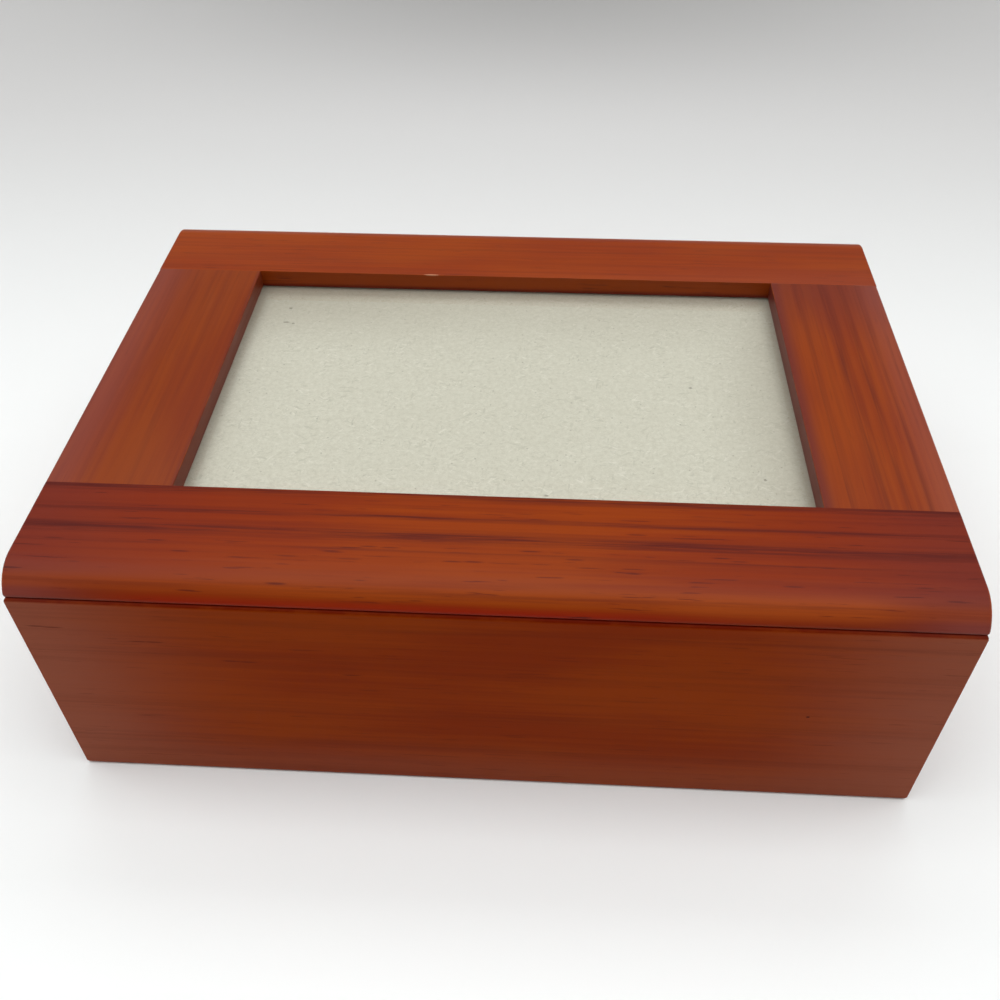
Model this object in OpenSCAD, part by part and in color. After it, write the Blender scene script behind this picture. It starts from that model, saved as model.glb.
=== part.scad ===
// Wooden photo storage box. Its hinged lid is a frame with a glazed recess for one photo.
// Millimetres, +Z up. The origin is the centre of the footprint, on the table.
// The front is at -Y and the hinges are at +Y. The lid is drawn closed.

/* [Box] */
// Width of the box and of its lid, left to right
box_w = 203; // [180:1:320]
// Depth of the box and of its lid, front to rear, without the hinge barrels
box_d = 147.5; // [130:0.5:260]
// Height of the walls, from the table to the seam under the lid
body_h = 63.2; // [40:0.1:120]
// Thickness of the four walls
wall_t = 9; // [8:0.5:12]
// Wood left at the ends of the front and rear walls, outside the side walls
rabbet_cheek = 4; // [3.5:0.1:5]
// Thickness of the bottom panel
bottom_t = 3; // [2:0.1:5]
// Height of the bottom panel above the table
bottom_lift = 4; // [3:0.1:8]
// Depth of the groove that holds the bottom panel
groove_depth = 3.6; // [2:0.1:3.9]
// Thickness of the felt on the floor of the box
floor_felt_t = 1; // [0.5:0.1:3]

/* [Lid frame] */
// Thickness of the lid at its outer edge, above the seam
lid_edge_t = 6.1; // [5.5:0.1:8]
// Radius of the large rounding along the front and rear edges of the lid
edge_r = 8.7; // [6.5:0.1:11]
// Width of the left and right stiles
stile_w = 29.3; // [28:0.1:42]
// Width of the front rail
front_rail_w = 29.8; // [28:0.1:40]
// Width of the rear rail
rear_rail_w = 28.5; // [27:0.1:40]
// Height of the wood above the glass
lip_t = 4.8; // [2.5:0.1:6]
// How far the frame covers each edge of the glass pocket
lip_w = 7; // [4:0.1:7.5]
// Diameter of the dowels in the corners of the frame
dowel_d = 4; // [3:0.1:4.5]
// Length of the dowels
dowel_l = 20; // [12:1:28]
// Distance from the dowels to each side of the full-thickness wood
dowel_inset = 3.3; // [2.5:0.1:3.5]

/* [Photo pocket] */
// Thickness of the glass
glass_t = 2; // [1.5:0.1:3]
// Thickness of the grey card behind the glass
card_t = 1.5; // [0.5:0.1:2.5]
// Thickness of the loose back board
board_t = 2.2; // [1.5:0.1:4]
// Thickness of the felt on the back board
board_felt_t = 0.5; // [0.3:0.1:1]
// Radius of the thumb notch in the front edge of the back board
notch_r = 8; // [5:0.5:14]

/* [Turn buttons] */
// Distance of each turn button from the end of the lid
button_inset = 59.5; // [42:0.5:80]
// Width of a turn button
button_w = 7; // [5:0.1:8]
// Distance from the pivot of a turn button to its far end
button_reach = 11; // [9:0.5:14]
// Thickness of a turn button
button_t = 1; // [0.8:0.1:1.6]
// Distance from the pivot of a turn button to the pocket
button_pivot = 5.5; // [4.5:0.1:6.5]
// Shank radius of a turn button screw
button_screw_r = 1.25; // [0.8:0.05:1.5]
// Length of a turn button screw in the wood
button_screw_l = 6; // [4:0.1:7]
// Radius of a turn button screw's head
button_head_r = 2.3; // [1.9:0.05:3]
// Height of a turn button screw's head
button_head_h = 1.1; // [0.8:0.1:1.6]

/* [Hinges] */
// Distance of the middle of each hinge from the end of the box
hinge_inset = 41.5; // [36:0.5:66]
// Length of a hinge
hinge_l = 24; // [20:1:32]
// Depth of a hinge leaf on the wall
leaf_depth = 7.5; // [6.5:0.1:7.8]
// Thickness of a hinge leaf
leaf_t = 0.8; // [0.6:0.1:1]
// Distance of the hinge axis behind the rear face of the box
axis_out = 0.2; // [0.1:0.1:0.6]
// Outer radius of the hinge barrel
barrel_r = 1.3; // [1.1:0.05:1.7]
// Radius of the hinge pin
pin_r = 0.65; // [0.5:0.05:0.8]
// Radius of the peened heads of the hinge pin
pin_head_r = 0.95; // [0.85:0.05:1.05]
// Height of the peened heads of the hinge pin
pin_head_h = 0.4; // [0.2:0.1:0.8]
// Width of the shoulders on the barrel that stop the lid
stop_w = 0.55; // [0.3:0.05:0.7]
// Length of the middle knuckle, which is part of the lid leaf
mid_knuckle_l = 8.8; // [6:0.1:11]
// Angle at which the shoulders of the barrel stop the lid
lid_open = 95; // [80:1:100]
// Distance of the hinge screws from the middle of the hinge
hinge_screw_x = 7.2; // [5:0.1:8]
// Distance of the hinge screws from the rear face of the box
hinge_screw_y = 4.6; // [4:0.1:5.2]
// Shank radius of a hinge screw
hinge_screw_r = 0.75; // [0.6:0.05:0.9]
// Head radius of a hinge screw
hinge_head_r = 1.45; // [1.2:0.05:1.6]
// Length of a hinge screw that goes into the rear wall
wall_screw_l = 9; // [5:0.5:14]
// Wood left over the tips of the hinge screws in the lid
screw_cover = 1; // [0.6:0.1:1.6]

/* [Clearances] */
// Gap between the frame's underside and the inner faces of the walls
lid_fit = 0.6; // [0.3:0.1:1]
// Gap around the glass, the card and the back board in their pocket
pocket_fit = 0.5; // [0.2:0.1:1]
// Gap at the edges of the bottom panel in its grooves
groove_fit = 0.3; // [0.1:0.1:0.6]
// Gap between the floor felt and the walls
felt_fit = 0.4; // [0.1:0.1:1]
// Radial gap between the hinge pin and the middle knuckle
pin_fit = 0.05; // [0.02:0.01:0.1]
// Radial gap between a turn button and the shank of its screw
button_fit = 0.05; // [0.02:0.01:0.1]
// Play of a turn button along its screw, above and below
button_play = 0.05; // [0.02:0.01:0.2]
// Gap between the hinge barrel and the wood that is hollowed out for it
barrel_gap = 0.15; // [0.1:0.05:0.4]
// Gap between a barrel and the other leaf's plate
leaf_relief = 0.2; // [0.1:0.05:0.4]
// Gap between neighbouring knuckles
knuckle_gap = 0.2; // [0.1:0.05:0.4]
// Gap around a hinge leaf in its mortise
mortise_fit = 0.1; // [0.05:0.05:0.3]
// Gap at the barrel's shoulders when the lid is fully open
stop_gap = 0.05; // [0.02:0.01:0.1]
// Radial gap around screws and dowels in their holes
hole_fit = 0.03; // [0.01:0.01:0.05]
// How far the hinge screws' heads lie below the leaf
head_sink = 0.05; // [0.02:0.01:0.1]

/* [Hidden] */
$fn = 64;

// How far a cut runs past the surface that it opens
over = 1;

// Sides of the box. The barrels stand behind the rear face and count in the footprint.
barrel_reach = axis_out + barrel_r;
front_y = -(box_d + barrel_reach) / 2;
rear_y = front_y + box_d;
side_x = box_w / 2;
inside_x = side_x - wall_t;
inside_front_y = front_y + wall_t;
inside_rear_y = rear_y - wall_t;
floor_z = bottom_lift + bottom_t;

// Levels of the lid. The thick middle of the frame drops between the walls.
lid_top = body_h + lid_edge_t;
rail_t = lip_t + glass_t + card_t + board_t + board_felt_t;
rail_z = lid_top - rail_t;
glass_z = lid_top - lip_t - glass_t;
card_z = glass_z - card_t;
board_z = card_z - board_t;

// Outline of the thick middle of the frame
seat_w = wall_t + lid_fit;
thick_x = side_x - seat_w;

// The opening in the frame, whose front and rear edges carry on as the corner joints
open_x = side_x - stile_w;
front_joint_y = front_y + front_rail_w;
rear_joint_y = rear_y - rear_rail_w;

// The pocket for the glass, under the frame's lip
pocket_x = open_x + lip_w;
pocket_front_y = front_joint_y - lip_w;
pocket_rear_y = rear_joint_y + lip_w;

// Turn button pivots
button_x = side_x - button_inset;
button_front_y = pocket_front_y - button_pivot;
button_rear_y = pocket_rear_y + button_pivot;
button_z = rail_z - button_play - button_t;

// Cross recess of the screws: width, depth and its arms' share of the head's radius
recess_w = 0.5;
recess_depth = 0.5;
recess_share = 0.6;

// Rounding of a turn button screw's head
head_edge_r = 0.5;

// Middle of each hinge, the hinge axis, and the knuckles' stretches on it
hinge_x = side_x - hinge_inset;
axis_y = rear_y + axis_out;
axis_z = body_h;
plate_end = barrel_r + leaf_relief;
outer_knuckle_x = mid_knuckle_l / 2 + knuckle_gap;
outer_knuckle_l = hinge_l / 2 - outer_knuckle_x;

// The barrel's shoulders, which the end of the lid leaf's plate meets when the lid is open
stop_y = leaf_t / 2;
stop_top = plate_end * sin(lid_open) + leaf_t * cos(lid_open) - stop_gap;
gain_r = max(barrel_r, norm([stop_y + stop_w, stop_top])) + barrel_gap;
gain_l = hinge_l + 2 * (pin_head_h + mortise_fit);

// Length of the hinge screws in the lid, under the rounding of its rear edge
rounding_run = max(0, edge_r - hinge_screw_y + hinge_screw_r);
rounding_drop = edge_r - sqrt(pow(edge_r, 2) - pow(rounding_run, 2));
lid_screw_l = lid_edge_t - rounding_drop - screw_cover;

wood = [0.56, 0.2, 0.1];
dark_wood = [0.46, 0.15, 0.08];
brass = [0.78, 0.62, 0.3];
felt = [0.16, 0.1, 0.08];

// A block between two corners
module block(low, high) {
    translate(low)
        cube(high - low);
}

// Front wall with its end rabbets and bottom groove, outer face on y = 0
module long_wall() {
    difference() {
        block([-side_x, 0, 0], [side_x, wall_t, body_h]);
        for (s = [0, 1])
            mirror([s, 0, 0])
                block([inside_x, rabbet_cheek, -over], [side_x + over, wall_t + over, body_h + over]);
        block([-side_x - over, wall_t - groove_depth, bottom_lift],
              [side_x + over, wall_t + over, floor_z]);
    }
}

module front_panel() {
    color(wood)
        translate([0, front_y, 0])
            long_wall();
}

module rear_panel() {
    color(wood)
        difference() {
            translate([0, rear_y, 0])
                mirror([0, 1, 0])
                    long_wall();
            for (s = [-1, 1])
                translate([s * hinge_x, 0, 0]) {
                    leaf_mortise(-1);
                    hinge_screw_holes(-1);
                }
        }
}

// Side wall on the +X side, with its ends in the rabbets of the long walls
module side_wall() {
    difference() {
        block([inside_x, front_y + rabbet_cheek, 0], [side_x, rear_y - rabbet_cheek, body_h]);
        block([inside_x - over, front_y, bottom_lift], [inside_x + groove_depth, rear_y, floor_z]);
    }
}

module right_panel() {
    color(wood)
        side_wall();
}

module left_panel() {
    color(wood)
        mirror([1, 0, 0])
            side_wall();
}

module bottom_panel() {
    reach = groove_depth - groove_fit;
    color([0.5, 0.33, 0.2])
        block([-inside_x - reach, inside_front_y - reach, bottom_lift],
              [inside_x + reach, inside_rear_y + reach, floor_z]);
}

module floor_felt() {
    color(felt)
        block([-inside_x + felt_fit, inside_front_y + felt_fit, floor_z],
              [inside_x - felt_fit, inside_rear_y - felt_fit, floor_z + floor_felt_t]);
}

// Section of a rail: u = 0 at the opening, u = rail_w at the outer face, v = 0 on top
module rail_section(rail_w) {
    below = max(rail_t, edge_r) + over;
    difference() {
        intersection() {
            translate([0, -rail_t])
                square([rail_w, rail_t]);
            union() {
                translate([0, -below])
                    square([rail_w - edge_r, below]);
                translate([0, -below])
                    square([rail_w, below - edge_r]);
                translate([rail_w - edge_r, -edge_r])
                    circle(r = edge_r);
            }
        }
        translate([rail_w - seat_w, -rail_t - over])
            square([seat_w + over, rail_t - lid_edge_t + over]);
    }
}

// Rail along X. Its ends are thinned where they rest on the side walls.
module rail_blank(rail_w) {
    difference() {
        translate([-side_x, 0, 0])
            rotate([90, 0, 90])
                linear_extrude(height = box_w)
                    rail_section(rail_w);
        for (s = [0, 1])
            mirror([s, 0, 0])
                block([thick_x, -over, -rail_t - over], [side_x + over, rail_w + over, -lid_edge_t]);
    }
}

// The pocket under the frame's lip for the glass, the card and the back board
module pocket_cut() {
    block([-pocket_x, pocket_front_y, rail_z - over], [pocket_x, pocket_rear_y, lid_top - lip_t]);
}

// Dowels of the four corner joints, or their holes with a radial gap
module corner_dowels(gap) {
    near_x = pocket_x + dowel_inset;
    far_x = thick_x - dowel_inset;
    for (x = [-far_x, -near_x, near_x, far_x], y = [front_joint_y, rear_joint_y])
        translate([x, y, lid_top - rail_t / 2])
            rotate([90, 0, 0])
                cylinder(r = dowel_d / 2 + gap, h = dowel_l + 2 * gap, center = true);
}

module lid_front_rail() {
    color(dark_wood)
        difference() {
            translate([0, front_joint_y, lid_top])
                mirror([0, 1, 0])
                    rail_blank(front_rail_w);
            pocket_cut();
            corner_dowels(hole_fit);
            button_screw_holes();
        }
}

module lid_rear_rail() {
    color(wood)
        difference() {
            translate([0, rear_joint_y, lid_top])
                rail_blank(rear_rail_w);
            pocket_cut();
            corner_dowels(hole_fit);
            button_screw_holes();
            for (s = [-1, 1])
                translate([s * hinge_x, 0, 0]) {
                    leaf_mortise(1);
                    hinge_screw_holes(1);
                }
        }
}

// Stile on the +X side, between the two rails
module stile() {
    difference() {
        block([open_x, front_joint_y, rail_z], [side_x, rear_joint_y, lid_top]);
        block([thick_x, front_joint_y - over, rail_z - over],
              [side_x + over, rear_joint_y + over, body_h]);
        pocket_cut();
        corner_dowels(hole_fit);
    }
}

module lid_right_stile() {
    color(wood)
        stile();
}

module lid_left_stile() {
    color(wood)
        mirror([1, 0, 0])
            stile();
}

module lid_dowels() {
    color([0.8, 0.65, 0.45])
        corner_dowels(0);
}

// A sheet that fills the pocket's outline at one level
module pocket_sheet(low, thickness) {
    block([-pocket_x + pocket_fit, pocket_front_y + pocket_fit, low],
          [pocket_x - pocket_fit, pocket_rear_y - pocket_fit, low + thickness]);
}

module glass_pane() {
    color([0.8, 0.9, 0.88, 0.35])
        pocket_sheet(glass_z, glass_t);
}

module grey_card() {
    color([0.77, 0.76, 0.69])
        pocket_sheet(card_z, card_t);
}

// The thumb notch in the front edge of the back board and its felt
module notch_cut() {
    translate([0, pocket_front_y + pocket_fit, rail_z - over])
        cylinder(r = notch_r, h = card_z - rail_z + over);
}

module back_board() {
    color([0.45, 0.32, 0.22])
        difference() {
            pocket_sheet(board_z, board_t);
            notch_cut();
        }
}

module back_board_felt() {
    color(felt)
        difference() {
            pocket_sheet(rail_z, board_felt_t);
            notch_cut();
        }
}

// A turn button whose pivot is at the origin and whose far end points along +Y
module turn_button() {
    color(brass)
        linear_extrude(height = button_t)
            difference() {
                union() {
                    circle(d = button_w);
                    translate([-button_w / 2, 0])
                        square([button_w, button_reach - button_w / 2]);
                    translate([0, button_reach - button_w / 2])
                        circle(d = button_w);
                }
                circle(r = button_screw_r + button_fit);
            }
}

module front_button(side) {
    translate([side * button_x, button_front_y, button_z])
        turn_button();
}

module rear_button(side) {
    translate([side * button_x, button_rear_y, button_z])
        mirror([0, 1, 0])
            turn_button();
}

module turn_button_front_left() {
    front_button(-1);
}

module turn_button_front_right() {
    front_button(1);
}

module turn_button_rear_left() {
    rear_button(-1);
}

module turn_button_rear_right() {
    rear_button(1);
}

// Cross recess, cut downwards from z = 0
module cross_recess(head_r) {
    arm = head_r * recess_share;
    for (a = [0, 90])
        rotate([0, 0, a])
            block([-arm, -recess_w / 2, -recess_depth], [arm, recess_w / 2, over]);
}

// Pan head screw that points up, with the underside of its head on z = 0
module button_screw() {
    difference() {
        union() {
            cylinder(r = button_screw_r, h = button_screw_l);
            rotate_extrude()
                difference() {
                    translate([0, -button_head_h])
                        square([button_head_r, button_head_h]);
                    translate([button_head_r - head_edge_r, -button_head_h])
                        difference() {
                            square(head_edge_r);
                            translate([0, head_edge_r])
                                circle(r = head_edge_r);
                        }
                }
        }
        translate([0, 0, -button_head_h])
            mirror([0, 0, 1])
                cross_recess(button_head_r);
    }
}

module at_button_screws() {
    for (x = [-button_x, button_x], y = [button_front_y, button_rear_y])
        translate([x, y, button_z - button_play])
            children();
}

module turn_button_screws() {
    color(brass)
        at_button_screws()
            button_screw();
}

module button_screw_holes() {
    at_button_screws()
        cylinder(r = button_screw_r + hole_fit, h = button_screw_l + hole_fit);
}

// Mortise for a leaf and its barrel around x = 0: side = -1 cuts the rear wall, 1 the lid
module leaf_mortise(side) {
    translate([0, rear_y - leaf_depth - mortise_fit, axis_z])
        translate([-hinge_l / 2 - mortise_fit, 0, side > 0 ? -over : -leaf_t])
            cube([hinge_l + 2 * mortise_fit, leaf_depth + mortise_fit + over, leaf_t + over]);
    translate([0, axis_y, axis_z])
        rotate([0, 90, 0])
            cylinder(r = gain_r, h = gain_l, center = true);
}

// Countersunk screw with its head on z = 0, pointing down
module hinge_screw(length, gap) {
    head_h = hinge_head_r - hinge_screw_r;
    translate([0, 0, -length - gap])
        cylinder(r = hinge_screw_r + gap, h = length + gap);
    translate([0, 0, -head_h])
        cylinder(r1 = hinge_screw_r + gap, r2 = hinge_head_r + gap, h = head_h);
}

// The two screws of one leaf around x = 0: side = -1 go into the rear wall, 1 into the lid
module at_hinge_screws(side) {
    for (s = [-1, 1])
        translate([s * hinge_screw_x, rear_y - hinge_screw_y, axis_z])
            if (side > 0)
                mirror([0, 0, 1])
                    children();
            else
                children();
}

module hinge_screw_holes(side) {
    at_hinge_screws(side) {
        translate([0, 0, -head_sink])
            hinge_screw(side > 0 ? lid_screw_l : wall_screw_l, hole_fit);
        translate([0, 0, -head_sink])
            cylinder(r = hinge_head_r + hole_fit, h = head_sink + over);
    }
}

module hinge_screws(side) {
    color(brass)
        for (s = [-1, 1])
            translate([s * hinge_x, 0, 0])
                at_hinge_screws(side)
                    translate([0, 0, -head_sink])
                        difference() {
                            hinge_screw(side > 0 ? lid_screw_l : wall_screw_l, 0);
                            cross_recess(hinge_head_r);
                        }
}

module hinge_box_screws() {
    hinge_screws(-1);
}

module hinge_lid_screws() {
    hinge_screws(1);
}

// A knuckle on the hinge axis from x = 0, with the strip that joins it to its plate
module knuckle(length, bore_r, strip_low) {
    difference() {
        union() {
            rotate([0, 90, 0])
                cylinder(r = barrel_r, h = length);
            translate([0, -plate_end, strip_low])
                cube([length, plate_end, leaf_t]);
        }
        translate([-over, 0, 0])
            rotate([0, 90, 0])
                cylinder(r = bore_r, h = length + 2 * over);
    }
}

// Box leaf around x = 0: a flat plate, the two outer knuckles and their stop shoulders
module box_leaf() {
    color(brass)
        difference() {
            union() {
                block([-hinge_l / 2, rear_y - leaf_depth, axis_z - leaf_t],
                      [hinge_l / 2, axis_y - plate_end, axis_z]);
                for (x = [-hinge_l / 2, outer_knuckle_x])
                    translate([x, axis_y, axis_z]) {
                        knuckle(outer_knuckle_l, pin_r, -leaf_t);
                        translate([0, stop_y, pin_r])
                            cube([outer_knuckle_l, stop_w, stop_top - pin_r]);
                    }
            }
            hinge_screw_holes(-1);
        }
}

// Lid leaf around x = 0: a flat plate and the middle knuckle
module lid_leaf() {
    color(brass)
        difference() {
            union() {
                block([-hinge_l / 2, rear_y - leaf_depth, axis_z],
                      [hinge_l / 2, axis_y - plate_end, axis_z + leaf_t]);
                translate([-mid_knuckle_l / 2, axis_y, axis_z])
                    knuckle(mid_knuckle_l, pin_r + pin_fit, 0);
            }
            hinge_screw_holes(1);
        }
}

// Hinge pin around x = 0, with a peened head at each end
module hinge_pin() {
    color(brass)
        translate([0, axis_y, axis_z])
            rotate([0, 90, 0]) {
                cylinder(r = pin_r, h = hinge_l, center = true);
                for (s = [-1, 1])
                    translate([0, 0, s * (hinge_l + pin_head_h) / 2])
                        cylinder(r = pin_head_r, h = pin_head_h, center = true);
            }
}

module hinge_box_leaf_left() {
    translate([-hinge_x, 0, 0])
        box_leaf();
}

module hinge_box_leaf_right() {
    translate([hinge_x, 0, 0])
        box_leaf();
}

module hinge_lid_leaf_left() {
    translate([-hinge_x, 0, 0])
        lid_leaf();
}

module hinge_lid_leaf_right() {
    translate([hinge_x, 0, 0])
        lid_leaf();
}

module hinge_pin_left() {
    translate([-hinge_x, 0, 0])
        hinge_pin();
}

module hinge_pin_right() {
    translate([hinge_x, 0, 0])
        hinge_pin();
}

front_panel();
rear_panel();
left_panel();
right_panel();
bottom_panel();
floor_felt();
lid_front_rail();
lid_rear_rail();
lid_left_stile();
lid_right_stile();
lid_dowels();
glass_pane();
grey_card();
back_board();
back_board_felt();
turn_button_front_left();
turn_button_front_right();
turn_button_rear_left();
turn_button_rear_right();
turn_button_screws();
hinge_box_leaf_left();
hinge_box_leaf_right();
hinge_lid_leaf_left();
hinge_lid_leaf_right();
hinge_pin_left();
hinge_pin_right();
hinge_box_screws();
hinge_lid_screws();
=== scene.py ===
"""Photo storage box: materials, softened edges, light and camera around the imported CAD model.

Objects, lights and the floor are in metres. The places on the part, the materials and values
whose name ends in _mm are in millimetres of the part's own frame: +X to the right, +Y to the
hinges, +Z up.
"""
import math

import bpy
from mathutils import Matrix, Vector


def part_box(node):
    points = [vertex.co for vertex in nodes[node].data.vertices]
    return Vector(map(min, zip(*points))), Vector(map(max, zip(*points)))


MM = 0.001

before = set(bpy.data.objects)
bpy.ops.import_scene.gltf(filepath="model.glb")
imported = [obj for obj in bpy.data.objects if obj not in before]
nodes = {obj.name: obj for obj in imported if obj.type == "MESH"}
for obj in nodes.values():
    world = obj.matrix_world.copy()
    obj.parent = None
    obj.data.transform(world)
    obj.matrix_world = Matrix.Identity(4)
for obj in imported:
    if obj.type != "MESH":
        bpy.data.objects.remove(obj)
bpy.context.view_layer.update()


# --- places on the part, from its nodes ---

def corners_mm(node):
    low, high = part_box(node)
    return low / MM, high / MM


BOX_LOW, BOX_HIGH = corners_mm("front_panel")
BOX_INNER_Y = BOX_HIGH.y
BOX_REAR = corners_mm("rear_panel")[1].y
BOX_REAR_INNER_Y = corners_mm("rear_panel")[0].y
BOX_INNER_X = corners_mm("right_panel")[0].x
SEAM_Z = BOX_HIGH.z
LID_LOW, LID_HIGH = corners_mm("lid_front_rail")
LID_REAR_LOW, LID_REAR_HIGH = corners_mm("lid_rear_rail")
LID_TOP = LID_HIGH.z
SIDE_X = LID_HIGH.x
FRONT_JOINT_Y = LID_HIGH.y
REAR_JOINT_Y = LID_REAR_LOW.y
STILE_INNER_X = corners_mm("lid_right_stile")[0].x
GLASS_TOP = corners_mm("glass_pane")[1].z


# --- building node trees ---

class Tree:
    """One node tree, with short spellings for the nodes that the materials use."""

    def __init__(self, tree):
        tree.nodes.clear()
        self.nodes, self.links = tree.nodes, tree.links

    def feed(self, socket, value):
        if isinstance(value, bpy.types.NodeSocket):
            self.links.new(value, socket)
        elif value is not None:
            socket.default_value = value

    def node(self, kind, settings=None, **inputs):
        n = self.nodes.new(kind)
        for key, value in (settings or {}).items():
            setattr(n, key, value)
        for key, value in inputs.items():
            self.feed(n.inputs[key.replace("_", " ")], value)
        return n

    def math(self, operation, a, b=None, clamp=False):
        n = self.node("ShaderNodeMath", {"operation": operation, "use_clamp": clamp})
        self.feed(n.inputs[0], a)
        self.feed(n.inputs[1], b)
        return n.outputs[0]

    def add(self, a, b):
        return self.math("ADD", a, b)

    def sub(self, a, b):
        return self.math("SUBTRACT", a, b)

    def mul(self, a, b):
        return self.math("MULTIPLY", a, b)

    def vector(self, operation, a, b=None):
        n = self.node("ShaderNodeVectorMath", {"operation": operation})
        self.feed(n.inputs[0], a)
        self.feed(n.inputs[1], b)
        return n.outputs["Value" if operation in ("LENGTH", "DISTANCE") else "Vector"]

    def split(self, vector):
        return self.node("ShaderNodeSeparateXYZ", Vector=vector).outputs

    def join(self, x=0.0, y=0.0, z=0.0):
        return self.node("ShaderNodeCombineXYZ", X=x, Y=y, Z=z).outputs[0]

    def remap(self, value, low, high, to_low=0.0, to_high=1.0, smooth=False):
        settings = {"interpolation_type": "SMOOTHSTEP" if smooth else "LINEAR"}
        n = self.node("ShaderNodeMapRange", settings, Value=value, From_Min=low, From_Max=high,
                      To_Min=to_low, To_Max=to_high)
        return n.outputs[0]

    def noise(self, vector, scale=1.0, detail=2.0, roughness=0.5, distortion=0.0):
        n = self.node("ShaderNodeTexNoise", Vector=vector, Scale=scale, Detail=detail,
                      Roughness=roughness, Distortion=distortion)
        return n.outputs["Fac"]

    def cells(self, vector, scale, output="Distance"):
        return self.node("ShaderNodeTexVoronoi", Vector=vector, Scale=scale).outputs[output]

    def ramp(self, value, stops):
        """A colour ramp. stops has (place, colour or grey), with places from 0 to 1."""
        n = self.node("ShaderNodeValToRGB", Fac=value)
        points = n.color_ramp.elements
        while len(points) < len(stops):
            points.new(0.5)
        for point, (at, colour) in zip(points, sorted(stops, key=lambda s: s[0])):
            point.position = at
            point.color = (*colour, 1.0) if isinstance(colour, tuple) else (colour,) * 3 + (1.0,)
        return n.outputs["Color"]

    def mix(self, share, a, b, blend="MIX"):
        n = self.node("ShaderNodeMix", {"data_type": "RGBA", "blend_type": blend})
        factor, first, second = n.inputs[0], n.inputs[6], n.inputs[7]
        self.feed(factor, share)
        self.feed(first, (*a, 1.0) if isinstance(a, tuple) else a)
        self.feed(second, (*b, 1.0) if isinstance(b, tuple) else b)
        return n.outputs[2]

    def place_mm(self):
        """The point's place in the part's frame, in millimetres."""
        place = self.node("ShaderNodeTexCoord").outputs["Object"]
        n = self.node("ShaderNodeVectorMath", {"operation": "SCALE"}, Scale=1 / MM)
        self.feed(n.inputs[0], place)
        return n.outputs["Vector"]

    def stretched(self, u, v, w, along, across, seed=0.0):
        """Texture space that is long along the grain: along and across are cycles per mm."""
        return self.join(self.add(self.mul(u, along), seed), self.mul(v, across),
                         self.mul(w, across))

    def bump(self, height, strength, depth_mm):
        return self.node("ShaderNodeBump", Strength=strength, Distance=depth_mm * MM,
                         Height=height).outputs[0]


def material(name):
    m = bpy.data.materials.new(name)
    m.use_nodes = True
    return m, Tree(m.node_tree)


def finish_material(tree, surface):
    tree.node("ShaderNodeOutputMaterial", Surface=surface)


def crossing_fibres(t, x, y, turns, cycles, span, **noise):
    """Fibres that lie in several directions. turns has (angle, seed) for each direction, cycles
    are those per mm along and across a fibre, and span is the noise's range from no fibre to a
    full one."""
    fibres = None
    for turn, seed in turns:
        along = t.add(t.mul(x, math.cos(turn)), t.mul(y, math.sin(turn)))
        across = t.sub(t.mul(y, math.cos(turn)), t.mul(x, math.sin(turn)))
        place = t.join(t.add(t.mul(along, cycles[0]), seed), t.mul(across, cycles[1]), seed)
        fibre = t.remap(t.noise(place, **noise), *span, smooth=True)
        fibres = fibre if fibres is None else t.math("MAXIMUM", fibres, fibre)
    return fibres


# --- wood ---

# Colours are linear.
STAIN_LIGHT = (0.250, 0.036, 0.0008)
STAIN_RED = (0.210, 0.024, 0.0012)
STAIN_DARK = (0.082, 0.0085, 0.0050)
STAIN_BRICK = (0.185, 0.0165, 0.0010)
# Painted haze and painted shade: purple for the veil of light on the front rail's ends and the
# right stile's rear, and for the shade on the lips' inner edges.
PURPLE_PAINTED_HAZE_AND_SHADE = (0.125, 0.0175, 0.0130)
# Painted haze: a pale, greyed veil of reflected light on the ends of the lid and box and on the
# box's foot.
PAINTED_HAZE_COLOUR = (0.270, 0.076, 0.0640)
# Painted shade: deep red at the foot of a rounded turn, where it faces away from the light.
DEEP_RED_PAINTED_SHADE = (0.250, 0.0085, 0.0002)
# Painted shadow: dark red in the seam between lid and box, and in the line where the rear lip
# meets the glass.
PAINTED_CREVICE_SHADOW = (0.090, 0.0018, 0.0003)
STAIN_WORN = (0.400, 0.085, 0.0100)
# Painted sheen: lighter stain along the front rail's rounded turn.
PAINTED_SHEEN_COLOUR = (0.400, 0.080, 0.0100)

# Half the length and half the width of a single dark pore streak, in mm
STREAK = (2.7, 0.26)

# A growth line's strength across its width, as (offset in widths, share)
LINE_PROFILE = ((-0.9, 0.0), (-0.25, 1.0), (0.15, 0.9), (1.1, 0.0))

# Room on both sides of a member's growth lines in their ramp, in mm
LINE_MARGIN = 6.0

# A shade that fades in over more than this gets a ragged border, in mm
RAGGED_SPAN = 5.0


def ring_profile(t, distance, lines, pith, face):
    """Dark growth lines. lines has (place on the show face, width, strength) in mm; pith and
    face are the places across the grain of the tree's centre and of the show face."""
    reach = [math.hypot(at - pith[0], face - pith[1]) for at, _, _ in lines]
    low, high = min(reach) - LINE_MARGIN, max(reach) + LINE_MARGIN
    stops = [(0.0, 0.0), (1.0, 0.0)]
    for r, (_, width, strength) in zip(reach, lines):
        for offset, share in LINE_PROFILE:
            stops.append(((r + offset * width - low) / (high - low), share * strength))
    return t.ramp(t.remap(distance, low, high), stops)


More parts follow.
